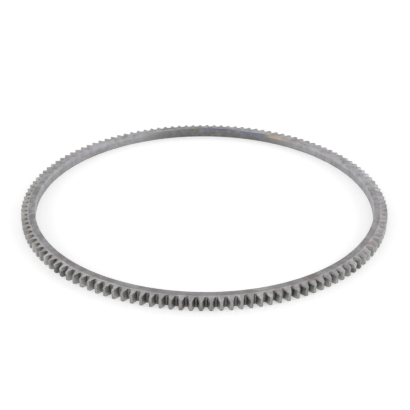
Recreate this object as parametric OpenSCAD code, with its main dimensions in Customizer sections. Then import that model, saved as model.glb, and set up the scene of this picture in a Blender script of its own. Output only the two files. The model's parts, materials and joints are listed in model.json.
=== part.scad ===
// Flywheel ring gear
//
// A flat steel ring with straight involute teeth around its rim. It lies on its back face
// with the bore along Z. The ends of the teeth where the starter pinion slides in are up:
// one shallow cone bevels them all, and each tooth has an entry bevel on one flank.

/* [Teeth] */
// Number of teeth around the rim
teeth = 134; // [100:1:180]
// Module of the teeth: pitch diameter for each tooth
tooth_module = 2.5; // [2.3:0.05:3]
// Height of a tooth outside the pitch circle, in modules
addendum_factor = 1; // [0.8:0.05:1.1]
// Depth of a gap below the pitch circle, in modules
dedendum_factor = 1.25; // [1.1:0.05:1.35]
// Pressure angle of the flanks in degrees
pressure_angle = 20; // [17:0.5:22]
// How much thinner a tooth is than half a pitch, so that the pinion runs freely
tooth_thinning = 0.1; // [0:0.01:0.3]
// Radius of the fillets between the flanks and the roots
root_fillet_r = 0.95; // [0.5:0.05:1.1]

/* [Ring] */
// Width of the ring and its teeth along the bore
face_w = 10; // [8:0.1:20]
// Radial thickness of the rim between the bore and the tooth roots
rim_t = 6.875; // [5:0.125:20]
// Chamfer at both edges of the bore
bore_chamfer = 0.4; // [0.2:0.05:1.2]
// Chamfer at the lower ends of the tooth tips
foot_chamfer = 0.5; // [0.2:0.05:1.5]

/* [Tooth ends] */
// Slope of the cone that bevels the upper ends of all the teeth, in degrees from level
end_bevel_angle = 9; // [4:0.5:11]
// How far that cone reaches in past the tooth roots
end_bevel_reach = 1.25; // [0.5:0.05:3.5]
// How far down the flank each entry bevel reaches, from the upper face
entry_bevel_h = 2.2; // [1.6:0.1:4]
// Width that each entry bevel takes off a tooth at the level of the upper face
entry_bevel_w = 1.6; // [0.8:0.05:2]
// How far each entry bevel runs in past the root circle
entry_bevel_reach = 0.5; // [0:0.1:1.5]

/* [Hidden] */

steel = [0.52, 0.52, 0.53];
flank_steps = 2;
fillet_steps = 3;
$fn = 180;

// How far a cutter reaches past the surface that it cuts
overcut = 0.6;

// Circles of the teeth
pitch_r = teeth * tooth_module / 2;
base_r = pitch_r * cos(pressure_angle);
tip_r = pitch_r + addendum_factor * tooth_module;
root_r = pitch_r - dedendum_factor * tooth_module;
bore_r = root_r - rim_t;

// Half of the angle that a tooth spans on the pitch circle, and that a pitch spans
tooth_w = PI * tooth_module / 2 - tooth_thinning;
pitch_half_angle = degrees(tooth_w / 2 / pitch_r);
half_pitch = 180 / teeth;

function degrees(radians) = radians * 180 / PI;
function polar(r, angle) = r * [cos(angle), sin(angle)];

// Angle that the base circle's involute has turned through where it reaches radius r
function line_angle(r) = acos(base_r / r);
function involute_angle(r) = degrees(tan(line_angle(r))) - line_angle(r);

// Half of the angle that a tooth spans at radius r
function half_angle(r) = pitch_half_angle + involute_angle(pitch_r) - involute_angle(r);

// The centre of a root fillet touches the root circle and, because the parallel of an
// involute is an involute of the same base circle, the flank as well
fillet_circle_r = root_r + root_fillet_r;
fillet_angle = half_angle(fillet_circle_r) + degrees(root_fillet_r / base_r);
fillet_sweep = 90 - line_angle(fillet_circle_r);
fillet_line = sqrt(pow(fillet_circle_r, 2) - pow(base_r, 2));
flank_start_r = sqrt(pow(base_r, 2) + pow(fillet_line - root_fillet_r, 2));
flank_end_r = tip_r + overcut;

// High side of the tooth that points along X: the root fillet, then the flank out past
// the tip
function fillet_point(share) =
    polar(fillet_circle_r, fillet_angle)
        + polar(root_fillet_r, fillet_angle + 180 + fillet_sweep * share);
function flank_point(share) =
    let (r = flank_start_r + (flank_end_r - flank_start_r) * share)
        polar(r, half_angle(r));
high_side = concat(
    [for (step = [0 : fillet_steps]) fillet_point(step / fillet_steps)],
    [for (step = [1 : flank_steps]) flank_point(step / flank_steps)]
);

// Gap between that tooth and the next one: the high side, then its mirror image about
// the middle of the gap
function mirrored(point) =
    let (turn = 2 * half_pitch)
        [
            point[0] * cos(turn) + point[1] * sin(turn),
            point[0] * sin(turn) - point[1] * cos(turn)
        ];
module gap_outline() {
    last = len(high_side) - 1;
    polygon(concat(high_side, [for (i = [0 : last]) mirrored(high_side[last - i])]));
}

module gap_cut() {
    translate([0, 0, -overcut])
        linear_extrude(face_w + 2 * overcut)
            gap_outline();
}

// Turned blank: the bore and its chamfers, the flat faces, and the cone over the upper
// tooth ends
end_bevel_r = root_r - end_bevel_reach;
end_bevel_drop = (tip_r - end_bevel_r) * tan(end_bevel_angle);
module blank() {
    rotate_extrude()
        polygon([
            [bore_r + bore_chamfer, 0],
            [tip_r - foot_chamfer, 0],
            [tip_r, foot_chamfer],
            [tip_r, face_w - end_bevel_drop],
            [end_bevel_r, face_w],
            [bore_r + bore_chamfer, face_w],
            [bore_r, face_w - bore_chamfer],
            [bore_r, bore_chamfer]
        ]);
}

// Wedge that cuts the entry bevel on the low flank of the tooth that points along X. It
// runs along the flank from past the tip to its own end wall, just inside the root circle.
module entry_bevel_cut() {
    flank_lean = pressure_angle - pitch_half_angle;
    inner_end = -(pitch_r - root_r + entry_bevel_reach) / cos(flank_lean);
    outer_end = (tip_r - pitch_r + 2 * overcut) / cos(flank_lean);
    low_z = face_w - entry_bevel_h;
    slope = entry_bevel_w / entry_bevel_h;
    translate(concat(polar(pitch_r, -pitch_half_angle), 0))
        rotate([0, 0, flank_lean])
            translate([inner_end, 0, 0])
                rotate([90, 0, 90])
                    linear_extrude(outer_end - inner_end)
                        polygon([
                            [-slope * overcut, low_z - overcut],
                            [entry_bevel_w + slope * overcut, face_w + overcut],
                            [-overcut, face_w + overcut],
                            [-overcut, low_z - overcut]
                        ]);
}

module ring_gear() {
    color(steel)
        difference() {
            blank();
            for (i = [0 : teeth - 1])
                rotate([0, 0, 2 * half_pitch * i]) {
                    gap_cut();
                    entry_bevel_cut();
                }
        }
}

ring_gear();
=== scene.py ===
"""Dresses the flywheel ring gear: a toothed ring with worn edges and its steel finishes, on a stage."""

import json
from collections import namedtuple
from math import acos, cos, hypot, pi, radians, sin, sqrt, tan

import bmesh
import bpy
from bpy.props import FloatProperty, FloatVectorProperty, IntProperty, PointerProperty
from bpy.types import NodeSocket, Operator, Panel, PropertyGroup
from mathutils import Matrix, Vector


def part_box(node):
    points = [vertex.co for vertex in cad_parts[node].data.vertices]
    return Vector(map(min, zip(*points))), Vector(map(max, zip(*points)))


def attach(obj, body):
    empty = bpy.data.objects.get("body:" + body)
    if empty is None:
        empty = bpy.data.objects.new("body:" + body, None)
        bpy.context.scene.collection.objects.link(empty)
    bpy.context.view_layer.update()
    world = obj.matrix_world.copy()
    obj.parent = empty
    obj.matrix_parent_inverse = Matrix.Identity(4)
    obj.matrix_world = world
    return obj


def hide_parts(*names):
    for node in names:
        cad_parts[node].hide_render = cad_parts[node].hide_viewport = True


bl_info = {
    "name": "Ring gear dressing",
    "version": (1, 0, 0),
    "blender": (4, 5, 0),
    "location": "View3D > Sidebar > Ring gear",
    "description": "Makes the toothed ring, its steel finishes and its stage",
    "category": "Object",
}

MM = 0.001

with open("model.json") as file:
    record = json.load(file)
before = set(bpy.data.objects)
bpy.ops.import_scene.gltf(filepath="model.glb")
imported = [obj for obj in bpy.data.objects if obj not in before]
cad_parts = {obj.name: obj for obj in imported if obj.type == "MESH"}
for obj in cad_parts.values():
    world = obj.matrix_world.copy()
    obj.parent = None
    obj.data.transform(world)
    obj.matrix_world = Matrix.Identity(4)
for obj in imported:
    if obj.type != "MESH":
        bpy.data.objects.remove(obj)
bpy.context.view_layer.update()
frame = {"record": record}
BOX_LOW, BOX_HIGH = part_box("ring_gear")
RING_WIDTH = BOX_HIGH.z - BOX_LOW.z
BORE = next(mount for mount in frame["record"]["mounts"] if mount["name"] == "bore")
BORE_RADIUS = BORE["dims"]["r_mm"] * MM
BORE_CHAMFER = (RING_WIDTH - BORE["dims"]["length_mm"] * MM) / 2

# Zones of the surface of one pitch. A side is where the next pitch joins on.
ZONES = ("face", "cone", "flank", "entry", "tip", "wall", "chamfer", "back", "side")

# Corners that round to the same step are one corner
CORNER_STEP = 0.0001 * MM

# Vertices closer than this are joined where one pitch meets the next
JOIN_DISTANCE = 0.002 * MM

# Straight pieces that a root fillet is made of
FILLET_STEPS = 3

# How far a cutter reaches past the surface that it cuts
OVERCUT = 0.6 * MM

# Wear rounds an edge only where its two faces turn by more than this
SHARP_ANGLE = radians(25)


class RingSizes(PropertyGroup):
    """Sizes of the toothed ring, the same as the CAD part's, and how far its edges are worn round"""

    teeth: IntProperty(name="Teeth", description="Number of teeth", default=134, min=20)
    tooth_module: FloatProperty(
        name="Module",
        description="Pitch diameter for each tooth",
        default=2.5 * MM,
        unit="LENGTH",
        precision=5,
    )
    dedendum_factor: FloatProperty(
        name="Dedendum",
        description="Depth of a gap below the pitch circle, in modules",
        default=1.25,
    )
    pressure_angle: FloatProperty(
        name="Pressure angle",
        description="Slope of the flanks at the pitch circle",
        default=radians(20),
        subtype="ANGLE",
    )
    tooth_thinning: FloatProperty(
        name="Thinning",
        description="How much thinner a tooth is than half a pitch",
        default=0.1 * MM,
        unit="LENGTH",
        precision=5,
    )
    root_fillet: FloatProperty(
        name="Root fillet",
        description="Radius between flank and root",
        default=0.95 * MM,
        unit="LENGTH",
        precision=5,
    )
    width: FloatProperty(
        name="Width",
        description="Width of the ring along its bore",
        default=RING_WIDTH,
        unit="LENGTH",
        precision=5,
    )
    bore_radius: FloatProperty(
        name="Bore radius",
        description="Radius of the bore wall",
        default=BORE_RADIUS,
        unit="LENGTH",
        precision=5,
    )
    bore_chamfer: FloatProperty(
        name="Bore chamfer",
        description="Chamfer at both edges of the bore",
        default=BORE_CHAMFER,
        unit="LENGTH",
        precision=5,
    )
    foot_chamfer: FloatProperty(
        name="Foot chamfer",
        description="Chamfer at the lower ends of the tooth tips",
        default=0.5 * MM,
        unit="LENGTH",
        precision=5,
    )
    cone_angle: FloatProperty(
        name="End bevel angle",
        description="Slope of the cone over the upper tooth ends",
        default=radians(9),
        subtype="ANGLE",
    )
    cone_reach: FloatProperty(
        name="End bevel reach",
        description="How far the cone reaches in past the tooth roots",
        default=1.25 * MM,
        unit="LENGTH",
        precision=5,
    )
    entry_height: FloatProperty(
        name="Entry bevel height",
        description="How far down the flank an entry bevel reaches",
        default=2.2 * MM,
        unit="LENGTH",
        precision=5,
    )
    entry_width: FloatProperty(
        name="Entry bevel width",
        description="Width that an entry bevel takes off a tooth at the upper face",
        default=1.6 * MM,
        unit="LENGTH",
        precision=5,
    )
    entry_reach: FloatProperty(
        name="Entry bevel reach",
        description="How far an entry bevel runs in past the root circle",
        default=0.5 * MM,
        unit="LENGTH",
        precision=5,
    )
    worn_edge: FloatProperty(
        name="Worn edge",
        description="How far over each face the rounding of a worn edge reaches",
        default=0.19 * MM,
        unit="LENGTH",
        precision=5,
    )


def colour_property(name, description, default):
    """A colour that the user can change in the sidebar"""
    return FloatVectorProperty(
        name=name, description=description, default=default, size=3, subtype="COLOR", min=0, max=1
    )


class SteelFinish(PropertyGroup):
    """Colours of the steel, as each tool and wear left it; the worn edges are also painted brighter to
    stand for their glints
    """

    face: colour_property("Face", "Turned flat face", (0.350, 0.348, 0.358))
    cone: colour_property("Cone", "Turned bevel over the tooth ends", (0.525, 0.502, 0.488))
    flank: colour_property("Flank", "Hobbed flanks and roots", (0.385, 0.385, 0.375))
    entry: colour_property("Entry bevel", "Milled entry bevels", (0.395, 0.385, 0.42))
    tip: colour_property("Tip", "Turned tooth tips", (0.39, 0.385, 0.365))
    wall: colour_property("Bore wall", "Turned bore", (0.335, 0.332, 0.34))
    chamfer: colour_property("Bore chamfer", "Turned edges of the bore", (0.52, 0.51, 0.50))
    # Worn edges: real wear, with the colour painted brighter than steel to stand for their glints
    worn: colour_property("Worn edge", "Bright worn edges", (0.92, 0.88, 0.81))


class StageSettings(PropertyGroup):
    """Floor, light and camera"""

    floor_size: FloatProperty(
        name="Floor", description="Side of the square floor", default=6.0, unit="LENGTH"
    )
    floor_shade: FloatProperty(
        name="Floor shade", description="How pale the floor is", default=0.88, min=0, max=1
    )
    floor_lift: FloatProperty(
        name="Floor lift",
        description="Added to the floor where the camera and the steel see it, so that it is white",
        default=0.38,
        min=0,
    )
    sky: FloatProperty(name="Sky", description="Level of the even light all round", default=0.47, min=0)
    lamp_power: FloatProperty(
        name="Lamps", description="Power of all the wide lamps together", default=25.0, unit="POWER"
    )
    camera_distance: FloatProperty(
        name="Camera distance",
        description="From the middle of the ring",
        default=0.7948,
        unit="LENGTH",
        precision=5,
    )
    camera_height: FloatProperty(
        name="Camera height angle",
        description="Of the camera above the ring's own plane",
        default=radians(28.599),
        subtype="ANGLE",
    )
    camera_pitch: FloatProperty(
        name="Camera pitch",
        description="How far down the camera looks",
        default=radians(28.901),
        subtype="ANGLE",
    )
    camera_yaw: FloatProperty(
        name="Camera yaw", description="Turn to one side", default=radians(0.986), subtype="ANGLE"
    )
    camera_roll: FloatProperty(
        name="Camera roll", description="Tilt of the horizon", default=radians(0.683), subtype="ANGLE"
    )
    ring_turn: FloatProperty(
        name="Ring turn",
        description="How far the ring is turned under the camera",
        default=radians(0.397),
        subtype="ANGLE",
    )
    lens: FloatProperty(
        name="Lens", description="Focal length in millimetres on a 36 mm sensor", default=73.78
    )
    lens_shift: FloatProperty(
        name="Lens shift",
        description="How far the ring stands to the right of the lens axis, as a share of the picture",
        default=0.0307,
        precision=4,
    )


def polar(radius, angle):
    """Point of the plan at that radius and angle"""
    return Vector((radius * cos(angle), radius * sin(angle)))


class ToothForm:
    """Plan and height of one tooth, which points along X"""

    def __init__(self, sizes):
        self.sizes = sizes
        self.half_pitch = pi / sizes.teeth
        self.pitch_r = sizes.teeth * sizes.tooth_module / 2
        self.base_r = self.pitch_r * cos(sizes.pressure_angle)
        self.tip_r = self.pitch_r + sizes.tooth_module
        self.root_r = self.pitch_r - sizes.dedendum_factor * sizes.tooth_module
        self.foot_r = self.tip_r - sizes.foot_chamfer
        self.cone_r = self.root_r - sizes.cone_reach
        thickness = pi * sizes.tooth_module / 2 - sizes.tooth_thinning
        self.pitch_half_angle = thickness / 2 / self.pitch_r
        self.fillet_circle_r = self.root_r + sizes.root_fillet
        self.fillet_line = sqrt(self.fillet_circle_r**2 - self.base_r**2)
        self.flank_start_r = hypot(self.base_r, self.fillet_line - sizes.root_fillet)

    def line_angle(self, radius):
        """Angle between the flank and the radius that meets it there"""
        return acos(self.base_r / radius)

    def involute_angle(self, radius):
        """Angle that the flank's involute has turned through at that radius"""
        return tan(self.line_angle(radius)) - self.line_angle(radius)

    def half_angle(self, radius):
        """Half of the angle that the tooth spans at that radius"""
        return (
            self.pitch_half_angle
            + self.involute_angle(self.pitch_r)
            - self.involute_angle(radius)
        )

    def flank(self, radius, side):
        """Point of the flank at that radius, on the side +1 or -1"""
        return polar(radius, side * self.half_angle(radius))

    def fillet(self, share, side):
        """Point of the root fillet, from the root circle at share 0 to the flank at share 1"""
        fillet_r = self.sizes.root_fillet
        angle = self.half_angle(self.fillet_circle_r) + fillet_r / self.base_r
        sweep = pi / 2 - self.line_angle(self.fillet_circle_r)
        point = polar(self.fillet_circle_r, angle) + polar(fillet_r, angle + pi + sweep * share)
        return Vector((point.x, side * point.y))

    def top(self, point):
        """Place on the upper face or the cone over that point"""
        drop = max(0.0, point.length - self.cone_r) * tan(self.sizes.cone_angle)
        return (point, self.sizes.width - drop)

    def foot(self, point):
        """Place on the lower face or the foot chamfer under that point"""
        return (point, max(0.0, point.length - self.foot_r))

    def upright(self, a, b):
        """Corners of the upright face between two points of the plan"""
        return self.foot(a), self.foot(b), self.top(b), self.top(a)


def zone_materials():
    """One plain material for each zone, which keeps the zones apart when a shell is cut"""
    names = [f"zone_{zone}" for zone in ZONES]
    return [bpy.data.materials.get(name) or bpy.data.materials.new(name) for name in names]


class Shell:
    """Collects faces by their corners, so that corners at one place are one vertex"""

    def __init__(self):
        self.mesh = bmesh.new()
        self.corners = {}

    def corner(self, plan, height):
        """The vertex at that place, made the first time that it is asked for"""
        place = (plan.x, plan.y, height)
        key = tuple(round(part / CORNER_STEP) for part in place)
        if key not in self.corners:
            self.corners[key] = self.mesh.verts.new(place)
        return self.corners[key]

    def face(self, zone, *places):
        """One face through (plan, height) places, or nothing if fewer than three differ"""
        corners = []
        for plan, height in places:
            corner = self.corner(plan, height)
            if corner not in corners:
                corners.append(corner)
        if len(corners) > 2:
            made = self.mesh.faces.new(corners)
            made.material_index = ZONES.index(zone)

    def finished(self, name):
        """The shell as a mesh with outward normals and a plain material for each zone"""
        bmesh.ops.recalc_face_normals(self.mesh, faces=self.mesh.faces)
        mesh = bpy.data.meshes.new(name)
        self.mesh.to_mesh(mesh)
        self.mesh.free()
        for material in zone_materials():
            mesh.materials.append(material)
        return mesh


def add_tooth(shell, form, base):
    """Faces of the tooth outside its base, up to its tip and its foot chamfer"""
    radii = (form.flank_start_r, form.pitch_r, form.foot_r, form.tip_r)
    low = [form.flank(radius, -1) for radius in radii]
    high = [form.flank(radius, 1) for radius in radii]
    last = len(radii) - 1
    for i in range(last):
        shell.face("flank", *form.upright(low[i], low[i + 1]))
        shell.face("flank", *form.upright(high[i], high[i + 1]))
        middle = [base] if i == 0 else []
        outline = (low[i], *middle, high[i], high[i + 1], low[i + 1])
        shell.face("cone", *(form.top(point) for point in outline))
        zone = "tip" if i == last - 1 else "back"
        shell.face(zone, *(form.foot(point) for point in outline))
    shell.face("tip", *form.upright(low[last], high[last]))


def add_rim(shell, form, columns, base):
    """Faces of the rim from the bore out to the columns, and its two cut sides. Each column is a
    point of the plan, on the root, on a fillet or in the middle of the tooth's base."""
    sizes = form.sizes
    edge_r = sizes.bore_radius + sizes.bore_chamfer
    profile = (
        ("back", edge_r, 0.0),
        ("chamfer", sizes.bore_radius, sizes.bore_chamfer),
        ("wall", sizes.bore_radius, sizes.width - sizes.bore_chamfer),
        ("chamfer", edge_r, sizes.width),
        ("face", form.cone_r, sizes.width),
    )

    def ring_points(column):
        """Places of the profile over that column, then the upper and lower ends of the root"""
        inner = [(column.normalized() * radius, height) for zone, radius, height in profile]
        return [*inner, form.top(column), form.foot(column)]

    zones = [zone for zone, radius, height in profile[1:]] + ["cone"]
    for a, b in zip(columns, columns[1:]):
        near, far = ring_points(a), ring_points(b)
        for j, zone in enumerate(zones):
            shell.face(zone, near[j], far[j], far[j + 1], near[j + 1])
        shell.face("back", near[-1], far[-1], far[0], near[0])
        if a is not base and b is not base:
            shell.face("flank", near[-2], far[-2], far[-1], near[-1])
    for column in (columns[0], columns[-1]):
        shell.face("side", *ring_points(column))


def plain_pitch(form):
    """Closed solid of one pitch, from the middle of one gap to the middle of the next"""
    base = polar(form.flank_start_r, 0.0)
    shares = [step / FILLET_STEPS for step in range(FILLET_STEPS + 1)]
    columns = [
        polar(form.root_r, -form.half_pitch),
        *(form.fillet(share, -1) for share in shares),
        base,
        *(form.fillet(share, 1) for share in reversed(shares)),
        polar(form.root_r, form.half_pitch),
    ]
    shell = Shell()
    add_tooth(shell, form, base)
    add_rim(shell, form, columns, base)
    return shell.finished("one_pitch")


def entry_cutter(form):
    """Wedge that cuts the entry bevel on the low flank, from past the tip to just inside the root"""
    sizes = form.sizes
    lean = sizes.pressure_angle - form.pitch_half_angle
    along = Vector((cos(lean), sin(lean)))
    across = Vector((-sin(lean), cos(lean)))
    corner = polar(form.pitch_r, -form.pitch_half_angle)
    inner = corner - along * (form.pitch_r - form.root_r + sizes.entry_reach) / cos(lean)
    outer = corner + along * (form.tip_r - form.pitch_r + 2 * OVERCUT) / cos(lean)
    slope = sizes.entry_width / sizes.entry_height
    low_z = sizes.width - sizes.entry_height
    profile = (
        (-slope * OVERCUT, low_z - OVERCUT),
        (sizes.entry_width + slope * OVERCUT, sizes.width + OVERCUT),
        (-OVERCUT, sizes.width + OVERCUT),
        (-OVERCUT, low_z - OVERCUT),
    )
    shell = Shell()
    ends = [[(end + across * width, height) for width, height in profile] for end in (inner, outer)]
    for i in range(len(profile)):
        j = (i + 1) % len(profile)
        shell.face("entry", ends[0][i], ends[0][j], ends[1][j], ends[1][i])
    shell.face("entry", *ends[0])
    shell.face("entry", *ends[1])
    return shell.finished("entry_cutter")


def pitch_mesh(context, sizes):
    """Mesh of one pitch with its entry bevel, open where the next pitch joins on"""
    form = ToothForm(sizes)
    pitch = bpy.data.objects.new("one_pitch", plain_pitch(form))
    cutter = bpy.data.objects.new("entry_cutter", entry_cutter(form))
    for each in (pitch, cutter):
        context.scene.collection.objects.link(each)
    cut = pitch.modifiers.new("Entry bevel", "BOOLEAN")
    cut.operation = "DIFFERENCE"
    cut.solver = "EXACT"
    cut.object = cutter
    drawn = pitch.evaluated_get(context.evaluated_depsgraph_get())
    mesh = bpy.data.meshes.new_from_object(drawn)
    for each in (pitch, cutter):
        bpy.data.objects.remove(each)

    shell = bmesh.new()
    shell.from_mesh(mesh)
    zone = shell.faces.layers.int.new("zone")
    for face in shell.faces:
        face[zone] = face.material_index
    sides = [face for face in shell.faces if face[zone] == ZONES.index("side")]
    bmesh.ops.delete(shell, geom=sides, context="FACES")
    shell.to_mesh(mesh)
    shell.free()
    mesh.materials.clear()
    for material in zone_materials():
        bpy.data.materials.remove(material)
    return mesh


class Nodes:
    """Adds nodes to a tree and wires them, one call for each node"""

    def __init__(self, tree):
        self.tree = tree

    def put(self, socket, value):
        """A value or another node's output goes into the socket"""
        if isinstance(value, NodeSocket):
            self.tree.links.new(value, socket)
        else:
            socket.default_value = value

    def add(self, kind, inputs=None, output=0, **settings):
        """A node with its settings and inputs. Gives back one of its outputs."""
        node = self.tree.nodes.new(kind)
        for name, value in settings.items():
            setattr(node, name, value)
        for key, value in (inputs or {}).items():
            self.put(node.inputs[key], value)
        return node.outputs[output]

    def maths(self, operation, first, second=0.0, third=0.0):
        """Result of one operation on up to three values"""
        return self.add("ShaderNodeMath", {0: first, 1: second, 2: third}, operation=operation)

    def product(self, first, *others):
        """All the values multiplied together"""
        for other in others:
            first = self.maths("MULTIPLY", first, other)
        return first

    def ramp(self, value, start, end, low=0.0, high=1.0):
        """Smooth step of value, from low at start to high at end"""
        inputs = {0: value, 1: start, 2: end, 3: low, 4: high}
        return self.add("ShaderNodeMapRange", inputs, interpolation_type="SMOOTHSTEP")

    def noise(self, vector, scale, detail, roughness):
        """Noise from 0 to 1, with features as wide as one over the scale"""
        inputs = {"Vector": vector, "Scale": scale, "Detail": detail, "Roughness": roughness}
        return self.add("ShaderNodeTexNoise", inputs)

    def mix(self, factor, first, second):
        """Colour between the first one at factor 0 and the second one at factor 1"""
        inputs = {0: factor, 6: first, 7: second}
        return self.add("ShaderNodeMix", inputs, output=2, data_type="RGBA")


def repeat_tree(zones):
    """Geometry Nodes that set one pitch all the way round and give each zone its finish"""
    tree = bpy.data.node_groups.new("teeth_round_the_rim", "GeometryNodeTree")
    sockets = tree.interface
    sockets.new_socket("Pitch mesh", in_out="INPUT", socket_type="NodeSocketGeometry")
    sockets.new_socket("Teeth", in_out="INPUT", socket_type="NodeSocketInt")
    sockets.new_socket("Join distance", in_out="INPUT", socket_type="NodeSocketFloat")
    for zone in zones:
        sockets.new_socket(f"{zone} finish", in_out="INPUT", socket_type="NodeSocketMaterial")
    sockets.new_socket("Ring", in_out="OUTPUT", socket_type="NodeSocketGeometry")

    nodes = Nodes(tree)
    given = tree.nodes.new("NodeGroupInput").outputs
    points = nodes.add("GeometryNodePoints", {"Count": given["Teeth"]})
    step = nodes.maths("DIVIDE", 2 * pi, given["Teeth"])
    angle = nodes.product(step, nodes.add("GeometryNodeInputIndex"))
    turn = nodes.add("ShaderNodeCombineXYZ", {"Z": angle})
    inputs = {"Points": points, "Instance": given["Pitch mesh"], "Rotation": turn}
    copies = nodes.add("GeometryNodeInstanceOnPoints", inputs)
    ring = nodes.add("GeometryNodeRealizeInstances", {"Geometry": copies})
    inputs = {"Geometry": ring, "Distance": given["Join distance"]}
    ring = nodes.add("GeometryNodeMergeByDistance", inputs)
    zone_of = nodes.add("GeometryNodeInputNamedAttribute", {"Name": "zone"}, data_type="INT")
    for zone in zones:
        inputs = {2: zone_of, 3: ZONES.index(zone)}
        chosen = nodes.add("FunctionNodeCompare", inputs, data_type="INT", operation="EQUAL")
        inputs = {"Geometry": ring, "Selection": chosen, "Material": given[f"{zone} finish"]}
        ring = nodes.add("GeometryNodeSetMaterial", inputs)
    out = tree.nodes.new("NodeGroupOutput")
    tree.links.new(ring, out.inputs["Ring"])
    return tree


def set_input(modifier, tree, name, value):
    """Sets a modifier's input by its socket's identifier"""
    for item in tree.interface.items_tree:
        if item.name == name and item.in_out == "INPUT":
            modifier[item.identifier] = value


def wear_edges(mesh, reach, worn_glint_material):
    """Rounds the sharp edges between two zones and gives the rounding its own bright finish, which is
    worn steel painted brighter to stand for glints. The edges of the bore's chamfers stay as they are."""
    shell = bmesh.new()
    shell.from_mesh(mesh)
    bmesh.ops.recalc_face_normals(shell, faces=shell.faces)
    chamfer = mesh.materials.find("steel_chamfer")
    sharp = [
        edge
        for edge in shell.edges
        if edge.is_manifold
        and edge.calc_face_angle(0.0) > SHARP_ANGLE
        and all(face.material_index != chamfer for face in edge.link_faces)
        and len({face.material_index for face in edge.link_faces}) > 1
    ]
    mesh.materials.append(worn_glint_material)
    bmesh.ops.bevel(
        shell,
        geom=sharp,
        offset=reach,
        offset_type="OFFSET",
        segments=2,
        profile=0.5,
        affect="EDGES",
        clamp_overlap=True,
        material=len(mesh.materials) - 1,
    )
    for edge in shell.edges:
        edge.smooth = len({face.material_index for face in edge.link_faces}) == 1
    for face in shell.faces:
        face.smooth = True
    shell.to_mesh(mesh)
    shell.free()


# How quickly the steel's fine lines change, along the rim and for each millimetre across it
LINES_ALONG = 5.0
LINES_ACROSS = 3.0


def ring_place_group(teeth):
    """Node group that says where a point of the ring is, in millimetres and degrees, gives each
    tooth a random number, and stretches the place into fine lines round the ring"""
    tree = bpy.data.node_groups.new("ring_place", "ShaderNodeTree")
    nodes = Nodes(tree)
    place = nodes.add("ShaderNodeTexCoord", output="Object")
    in_mm = nodes.add("ShaderNodeVectorMath", {0: place, "Scale": 1 / MM}, operation="SCALE")
    split = tree.nodes.new("ShaderNodeSeparateXYZ")
    tree.links.new(in_mm, split.inputs[0])
    x, y, height = split.outputs
    squares = nodes.maths("ADD", nodes.product(x, x), nodes.product(y, y))
    radius = nodes.maths("SQRT", squares)
    angle = nodes.maths("DEGREES", nodes.maths("ARCTAN2", y, x))

    depth = nodes.maths("ADD", nodes.product(radius, LINES_ACROSS), nodes.product(height, LINES_ACROSS))
    inputs = {
        "X": nodes.product(nodes.maths("DIVIDE", x, radius), LINES_ALONG),
        "Y": nodes.product(nodes.maths("DIVIDE", y, radius), LINES_ALONG),
        "Z": depth,
    }
    lines = nodes.add("ShaderNodeCombineXYZ", inputs)

    tooth = nodes.maths("ROUND", nodes.maths("DIVIDE", angle, 360 / teeth))
    chance = nodes.add("ShaderNodeTexWhiteNoise", {"W": tooth}, noise_dimensions="1D")

    results = {
        "Radius": ("NodeSocketFloat", radius),
        "Angle": ("NodeSocketFloat", angle),
        "Height": ("NodeSocketFloat", height),
        "Tooth": ("NodeSocketFloat", chance),
        "Millimetres": ("NodeSocketVector", in_mm),
        "Lines": ("NodeSocketVector", lines),
    }
    for name, (kind, value) in results.items():
        tree.interface.new_socket(name, in_out="OUTPUT", socket_type=kind)
    out = tree.nodes.new("NodeGroupOutput")
    for name, (kind, value) in results.items():
        tree.links.new(value, out.inputs[name])
    return tree


# A stain, a tint, or painted light such as a painted glint, sheen or shade: where it is in degrees
# round the ring, with 90 at the back and -90 at the front, how many degrees it reaches each way, the
# radii and heights in millimetres that it lies between, its colour and how strongly it shows
Mark = namedtuple("Mark", "angle reach inner outer low high colour strength")

# Radii that take in the bore wall, and radii and heights that take in its upper chamfer
BORE_WALL = (156, 159)
UPPER_EDGE = (156, 159, 5, 11)

STRAW = (0.74, 0.52, 0.34)
DARK = (0.15, 0.147, 0.147)
PAINTED_SHEEN = (0.70, 0.69, 0.71)
PAINTED_SHADE = (0.24, 0.24, 0.245)
BLUE = (0.24, 0.28, 0.50)
VIOLET = (0.36, 0.30, 0.46)
TEAL = (0.10, 0.30, 0.40)
CREAM_GLINT = (0.85, 0.80, 0.70)
RUST = (0.34, 0.10, 0.035)
FAINT_RUST = (0.50, 0.22, 0.16)
NAVY = (0.13, 0.15, 0.30)
RUSTY_EDGE = (0.26, 0.19, 0.175)
BLACK = (0.06, 0.065, 0.06)
BROWN = (0.22, 0.14, 0.09)
PALE_BLUE_GLINT = (0.72, 0.80, 0.95)
PINK = (0.62, 0.42, 0.46)

WALL_MARKS = (
    # Painted sheen: the upper bore wall is painted paler all the way round
    Mark(0, 400, *BORE_WALL, 6.0, 14, PAINTED_SHEEN, 0.28),
    Mark(84, 38, *BORE_WALL, -2, 10.4, DARK, 0.85),
    Mark(90, 28, *BORE_WALL, -2, 10.0, DARK, 0.4),
    Mark(60, 5.5, *BORE_WALL, 6, 11, STRAW, 0.46),
    Mark(53.5, 1.6, *BORE_WALL, 7.5, 11, FAINT_RUST, 0.45),
    Mark(85, 10, *BORE_WALL, 8.0, 11, NAVY, 0.7),
    Mark(72.5, 7, *BORE_WALL, 8.2, 11, BLUE, 0.6),
    Mark(73.6, 2.5, *BORE_WALL, 3.5, 8, TEAL, 0.2),
    Mark(68.2, 2, *BORE_WALL, 3.5, 8, BLUE, 0.28),
    Mark(94.5, 3.5, *BORE_WALL, 7.5, 11, BROWN, 0.5),
    # Painted glint: a cream highlight along the top of the bore wall at the back
    Mark(107, 9, *BORE_WALL, 9.0, 11, CREAM_GLINT, 0.55),
    Mark(144, 17, *BORE_WALL, 6.5, 11, VIOLET, 0.35),
)
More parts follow.
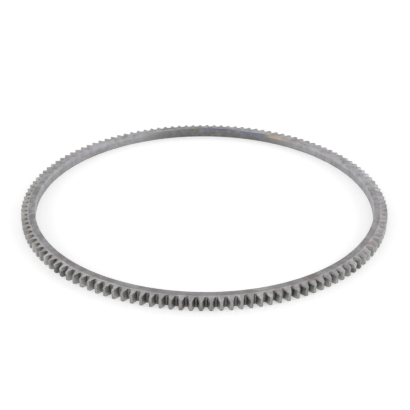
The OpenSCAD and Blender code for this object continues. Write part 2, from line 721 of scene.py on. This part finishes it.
CHAMFER_MARKS = (
    Mark(59.5, 6.5, *UPPER_EDGE, STRAW, 0.6),
    Mark(52.6, 1.4, *UPPER_EDGE, FAINT_RUST, 0.6),
    Mark(85, 10, *UPPER_EDGE, NAVY, 0.75),
    # Painted glint: a pale blue highlight line along the upper bore chamfer
    Mark(72.5, 7, *UPPER_EDGE, PALE_BLUE_GLINT, 0.7),
    # Painted glint: a cream highlight on the upper bore chamfer at the back
    Mark(107, 9, *UPPER_EDGE, CREAM_GLINT, 0.7),
    Mark(144, 17, *UPPER_EDGE, PINK, 0.35),
    # Painted glint: a pale blue highlight line along the upper bore chamfer on the right
    Mark(14, 10, *UPPER_EDGE, PALE_BLUE_GLINT, 0.8),
    # Painted glint: a pinkish highlight line along the upper bore chamfer
    Mark(39, 17, *UPPER_EDGE, PINK, 0.5),
    Mark(-90, 75, *UPPER_EDGE, RUSTY_EDGE, 0.75),
)
FACE_MARKS = (
    # Painted sheen: the face and cone are painted paler at the back, to the right and to the left
    Mark(42, 60, 157, 164.2, 8, 12, PAINTED_SHEEN, 0.45),
    Mark(137, 40, 157, 164.2, 8, 12, PAINTED_SHEEN, 0.4),
    # Painted shade: the face and cone are painted duller at the front
    Mark(-95, 70, 157, 163.5, 8, 12, PAINTED_SHADE, 0.4),
    Mark(-58, 2.5, 157, 166, 9, 11, BROWN, 0.55),
    Mark(-31.4, 0.9, 161.5, 166, 8, 11, FAINT_RUST, 0.7),
    Mark(-11.5, 0.7, 159, 162, 8, 11, FAINT_RUST, 0.45),
    Mark(-139, 3.0, 157, 162, 9, 11, BROWN, 0.35),
    # Painted glints: small cream highlights on the face by the bore edge at the front
    Mark(-112, 3.0, 157, 162, 9, 11, CREAM_GLINT, 0.25),
    Mark(-74, 3.5, 157, 162, 9, 11, CREAM_GLINT, 0.2),
    Mark(-26, 2.0, 157, 166, 9, 11, BROWN, 0.2),
    Mark(60, 5, 157, 160, 9, 11, STRAW, 0.3),
)
FLANK_MARKS = (
    Mark(-42.5, 3.5, 164, 171, -1, 4.5, BLACK, 0.75),
    Mark(-135, 5.0, 164, 171, -1, 6.0, BLACK, 0.75),
    Mark(-31.3, 0.7, 163, 168, 4, 11, RUST, 0.9),
    Mark(-96.2, 0.8, 166, 171, -1, 4, RUST, 0.8),
    Mark(-93.5, 0.6, 167, 171, -1, 2, RUST, 0.45),
)
TIP_MARKS = (
    # Painted shade: the tooth tips are painted duller at the front
    Mark(-95, 45, 168, 173, -2, 12, PAINTED_SHADE, 0.45),
    *FLANK_MARKS,
)


# Share of its reach over which a mark is at full strength, and how many millimetres its
# strength takes to grow from each of its other borders
MARK_CORE = 0.35
MARK_RADIAL_FADE = 0.8
MARK_LOW_FADE = 1.0
MARK_HIGH_FADE = 0.6


def stains_and_painted_light(nodes, place, colour, marks, clouds):
    """The colour with its marks laid on, stains and painted light alike, each broken up by the clouds
    """
    broken = nodes.ramp(clouds, 0.3, 0.6, 0.45, 1.0)
    for mark in marks:
        apart = nodes.maths("SUBTRACT", place["Angle"], mark.angle)
        apart = nodes.maths("ABSOLUTE", nodes.maths("WRAP", apart, 180.0, -180.0))
        strength = nodes.product(
            nodes.ramp(place["Radius"], mark.inner, mark.inner + MARK_RADIAL_FADE),
            nodes.ramp(place["Radius"], mark.outer, mark.outer - MARK_RADIAL_FADE),
            nodes.ramp(place["Height"], mark.low, mark.low + MARK_LOW_FADE),
            nodes.ramp(place["Height"], mark.high, mark.high - MARK_HIGH_FADE),
            nodes.ramp(apart, mark.reach, mark.reach * MARK_CORE),
            broken,
            mark.strength,
        )
        colour = nodes.mix(strength, colour, (*mark.colour, 1.0))
    return colour


def shade_of(colour, factor):
    """The same colour, darker or paler, kept within range"""
    return (*(min(1.0, part * factor) for part in colour), 1.0)


# Darkest and palest shade that the steel's tone can give a colour
DARKEST = 0.4
PALEST = 1.4

# Painted shade in the tooth gaps: how dark the roots are painted, and how many millimetres out from
# them the flanks have their full shade
GAP_PAINTED_SHADE = 0.58
GAP_PAINTED_SHADE_REACH = 3.6

# How one zone's steel looks: how rough it is, and how much the fine lines, the clouds and
# chance from tooth to tooth change its shade
Texture = namedtuple("Texture", "roughness lines clouds teeth", defaults=(0.0,))

TEXTURES = {
    "face": Texture(roughness=0.44, lines=0.2, clouds=0.16),
    "cone": Texture(roughness=0.4, lines=0.1, clouds=0.1, teeth=0.05),
    "flank": Texture(roughness=0.45, lines=0.1, clouds=0.12, teeth=0.12),
    "entry": Texture(roughness=0.52, lines=0.06, clouds=0.08, teeth=0.12),
    "tip": Texture(roughness=0.45, lines=0.12, clouds=0.14, teeth=0.1),
    "wall": Texture(roughness=0.42, lines=0.12, clouds=0.09),
    "chamfer": Texture(roughness=0.42, lines=0.08, clouds=0.16),
    "back": Texture(roughness=0.44, lines=0.12, clouds=0.1),
    "worn": Texture(roughness=0.5, lines=0.05, clouds=0.15),
}

MARKS = {
    "face": FACE_MARKS,
    "cone": FACE_MARKS,
    "flank": FLANK_MARKS,
    "tip": TIP_MARKS,
    "wall": WALL_MARKS,
    "chamfer": CHAMFER_MARKS,
}


def steel(zone, colour, place_group, root_mm):
    """Bare steel with the texture and marks of that zone, and with painted shade darker toward the
    roots on a flank
    """
    material = bpy.data.materials.new(f"steel_{zone}")
    material.use_nodes = True
    tree = material.node_tree
    tree.nodes.clear()
    nodes = Nodes(tree)
    group = tree.nodes.new("ShaderNodeGroup")
    group.node_tree = place_group
    place = group.outputs

    # Most of a noise lies between 0.3 and 0.7, so its ramps run between about these
    texture = TEXTURES[zone]
    lines = nodes.noise(place["Lines"], scale=1.0, detail=3.0, roughness=0.65)
    clouds = nodes.noise(place["Millimetres"], scale=0.16, detail=4.0, roughness=0.55)
    grain = nodes.noise(place["Millimetres"], scale=2.2, detail=3.0, roughness=0.6)
    shades = [
        nodes.ramp(lines, 0.3, 0.7, 1 - texture.lines, 1 + texture.lines),
        nodes.ramp(clouds, 0.35, 0.65, 1 - texture.clouds, 1 + texture.clouds),
        nodes.ramp(grain, 0.3, 0.7, 0.96, 1.04),
    ]
    if texture.teeth:
        shades.append(nodes.ramp(place["Tooth"], 0, 1, 1 - texture.teeth, 1 + texture.teeth))
    # Painted shade: the flank is painted darker toward the roots, deep in the gaps
    if zone == "flank":
        full_mm = root_mm + GAP_PAINTED_SHADE_REACH
        shades.append(nodes.ramp(place["Radius"], root_mm, full_mm, GAP_PAINTED_SHADE, 1.0))
    tone = nodes.ramp(nodes.product(*shades), DARKEST, PALEST)
    toned = nodes.mix(tone, shade_of(colour, DARKEST), shade_of(colour, PALEST))
    rough = nodes.ramp(lines, 0.3, 0.7, texture.roughness - 0.06, texture.roughness + 0.08)
    bump = {"Strength": 0.25, "Distance": 0.02 * MM, "Height": lines}
    inputs = {
        "Base Color": stains_and_painted_light(nodes, place, toned, MARKS.get(zone, ()), clouds),
        "Metallic": 1.0,
        "Roughness": rough,
        "Normal": nodes.add("ShaderNodeBump", bump),
    }
    shader = nodes.add("ShaderNodeBsdfPrincipled", inputs)
    out = tree.nodes.new("ShaderNodeOutputMaterial")
    tree.links.new(shader, out.inputs["Surface"])
    return material


def ring_materials(finish, sizes):
    """The steel finish of each zone that shows, and of the worn edges"""
    place_group = ring_place_group(sizes.teeth)
    root_mm = ToothForm(sizes).root_r / MM
    colours = {
        "face": finish.face,
        "cone": finish.cone,
        "flank": finish.flank,
        "entry": finish.entry,
        "tip": finish.tip,
        "wall": finish.wall,
        "chamfer": finish.chamfer,
        "back": finish.face,
        "worn": finish.worn,
    }
    return {zone: steel(zone, colour, place_group, root_mm) for zone, colour in colours.items()}


class RINGGEAR_OT_ring(Operator):
    """Make the toothed ring with its worn edges and finishes"""

    bl_idname = "ringgear.ring"
    bl_label = "Toothed ring"

    def execute(self, context):
        sizes = context.scene.ring_sizes
        materials = ring_materials(context.scene.steel_finish, sizes)
        worn = materials.pop("worn")
        seed = bpy.data.objects.new("pitch_seed", pitch_mesh(context, sizes))
        seed.data.materials.append(materials["face"])
        context.scene.collection.objects.link(seed)
        tree = repeat_tree(materials)
        repeat = seed.modifiers.new("Round the rim", "NODES")
        repeat.node_group = tree
        set_input(repeat, tree, "Teeth", sizes.teeth)
        set_input(repeat, tree, "Join distance", JOIN_DISTANCE)
        for zone, material in materials.items():
            set_input(repeat, tree, f"{zone} finish", material)

        drawn = seed.evaluated_get(context.evaluated_depsgraph_get())
        mesh = bpy.data.meshes.new_from_object(drawn)
        mesh.name = "toothed_ring"
        bpy.data.objects.remove(seed)
        wear_edges(mesh, sizes.worn_edge, worn)
        ring = bpy.data.objects.new("toothed_ring", mesh)
        context.scene.collection.objects.link(ring)
        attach(ring, "root")
        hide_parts("ring_gear")
        return {"FINISHED"}


# How far the floor lies under the ring, so that no two surfaces share a plane
FLOOR_GAP = 0.05 * MM

# Width of the camera's sensor in millimetres, which the lens and its shift are measured by
SENSOR_WIDTH = 36

# A wide soft lamp that points at the ring: its place and size in metres, and its share of
# the lamps' power
SoftLamp = namedtuple("SoftLamp", "name place width height share")

SOFT_LAMPS = (
    SoftLamp("lamp_right", (1.5, 0, 0.6), 2.0, 1.0, 0.38),
    SoftLamp("lamp_left", (-1.5, 0, 0.5), 2.0, 1.0, 0.27),
    SoftLamp("lamp_front_left", (-1.15, -1.15, 0.6), 1.2, 0.9, 0.15),
    SoftLamp("lamp_front", (0, -1.3, 0.9), 1.4, 0.7, 0.1),
    SoftLamp("lamp_back", (0, 1.2, 1.0), 1.6, 0.7, 0.1),
)


def floor_material(shade, lift_strength):
    """Pale matt floor that a camera sees as white, with the ring's shadow on it"""
    material = bpy.data.materials.new("stage_floor")
    material.use_nodes = True
    tree = material.node_tree
    tree.nodes.clear()
    nodes = Nodes(tree)
    matt = nodes.add("ShaderNodeBsdfDiffuse", {"Color": (shade, shade, shade, 1.0)})
    path = tree.nodes.new("ShaderNodeLightPath").outputs
    seen = nodes.maths("MAXIMUM", path["Is Camera Ray"], path["Is Glossy Ray"])
    lift = nodes.add("ShaderNodeEmission", {"Strength": nodes.product(seen, lift_strength)})
    total = nodes.add("ShaderNodeAddShader", {0: matt, 1: lift})
    out = tree.nodes.new("ShaderNodeOutputMaterial")
    tree.links.new(total, out.inputs["Surface"])
    return material


def camera_place(stage, middle):
    """Where the camera stands and how it is turned, from the angles of the stage settings and the
    height of the ring's middle"""
    height, pitch = stage.camera_height, stage.camera_pitch
    yaw, roll = stage.camera_yaw, stage.camera_roll
    ahead = Vector((sin(yaw) * cos(pitch), cos(yaw) * cos(pitch), -sin(pitch)))
    right = Vector((cos(yaw), -sin(yaw), 0))
    above = right.cross(ahead)
    across = right * cos(roll) + above * sin(roll)
    up = above * cos(roll) - right * sin(roll)
    turned = Matrix((across, up, -ahead)).transposed().to_4x4()
    stands = Vector((0, -cos(height), sin(height))) * stage.camera_distance
    ring_turn = Matrix.Rotation(-stage.ring_turn, 4, "Z")
    return Matrix.Translation((0, 0, middle)) @ ring_turn @ Matrix.Translation(stands) @ turned


class RINGGEAR_OT_stage(Operator):
    """Make the floor, the light and the camera"""

    bl_idname = "ringgear.stage"
    bl_label = "Stage"

    def execute(self, context):
        scene = context.scene
        stage = scene.stage_settings

        mesh = bpy.data.meshes.new("stage_floor")
        shell = bmesh.new()
        bmesh.ops.create_grid(shell, x_segments=1, y_segments=1, size=stage.floor_size / 2)
        bmesh.ops.translate(shell, vec=(0, 0, -FLOOR_GAP), verts=shell.verts)
        shell.to_mesh(mesh)
        shell.free()
        mesh.materials.append(floor_material(stage.floor_shade, stage.floor_lift))
        floor = bpy.data.objects.new("stage_floor", mesh)
        scene.collection.objects.link(floor)

        world = bpy.data.worlds.new("soft_sky")
        world.use_nodes = True
        tree = world.node_tree
        tree.nodes.clear()
        nodes = Nodes(tree)
        path = tree.nodes.new("ShaderNodeLightPath").outputs
        strength = nodes.maths("MAXIMUM", path["Is Camera Ray"], stage.sky)
        sky = nodes.add("ShaderNodeBackground", {"Color": (1, 1, 1, 1), "Strength": strength})
        out = tree.nodes.new("ShaderNodeOutputWorld")
        tree.links.new(sky, out.inputs["Surface"])
        scene.world = world

        for soft_lamp in SOFT_LAMPS:
            lamp = bpy.data.lights.new(soft_lamp.name, "AREA")
            lamp.shape = "RECTANGLE"
            lamp.size = soft_lamp.width
            lamp.size_y = soft_lamp.height
            lamp.energy = stage.lamp_power * soft_lamp.share
            holder = bpy.data.objects.new(soft_lamp.name, lamp)
            holder.location = soft_lamp.place
            holder.rotation_euler = (-holder.location).to_track_quat("-Z", "Y").to_euler()
            holder.visible_camera = False
            scene.collection.objects.link(holder)

        camera = bpy.data.objects.new("photo_view", bpy.data.cameras.new("photo_view"))
        camera.data.sensor_width = SENSOR_WIDTH
        camera.data.lens = stage.lens
        camera.data.shift_x = -stage.lens_shift
        camera.matrix_world = camera_place(stage, scene.ring_sizes.width / 2)
        scene.collection.objects.link(camera)
        scene.camera = camera
        scene.view_settings.view_transform = "Standard"
        return {"FINISHED"}


class RINGGEAR_PT_panel(Panel):
    """Lists what the add-on makes, with its settings"""

    bl_idname = "RINGGEAR_PT_panel"
    bl_label = "Ring gear"
    bl_space_type = "VIEW_3D"
    bl_region_type = "UI"
    bl_category = "Ring gear"

    def draw(self, context):
        scene = context.scene
        for settings in (scene.ring_sizes, scene.steel_finish, scene.stage_settings):
            box = self.layout.box()
            for name in settings.__annotations__:
                box.prop(settings, name)
        self.layout.operator(RINGGEAR_OT_ring.bl_idname)
        self.layout.operator(RINGGEAR_OT_stage.bl_idname)


CLASSES = (
    RingSizes,
    SteelFinish,
    StageSettings,
    RINGGEAR_OT_ring,
    RINGGEAR_OT_stage,
    RINGGEAR_PT_panel,
)


def register():
    for each in CLASSES:
        bpy.utils.register_class(each)
    bpy.types.Scene.ring_sizes = PointerProperty(type=RingSizes)
    bpy.types.Scene.steel_finish = PointerProperty(type=SteelFinish)
    bpy.types.Scene.stage_settings = PointerProperty(type=StageSettings)


def unregister():
    del bpy.types.Scene.stage_settings
    del bpy.types.Scene.steel_finish
    del bpy.types.Scene.ring_sizes
    for each in reversed(CLASSES):
        bpy.utils.unregister_class(each)


def main():
    """Makes the ring and the stage"""
    register()
    bpy.ops.ringgear.ring()
    bpy.ops.ringgear.stage()


if __name__ == "__main__":
    main()
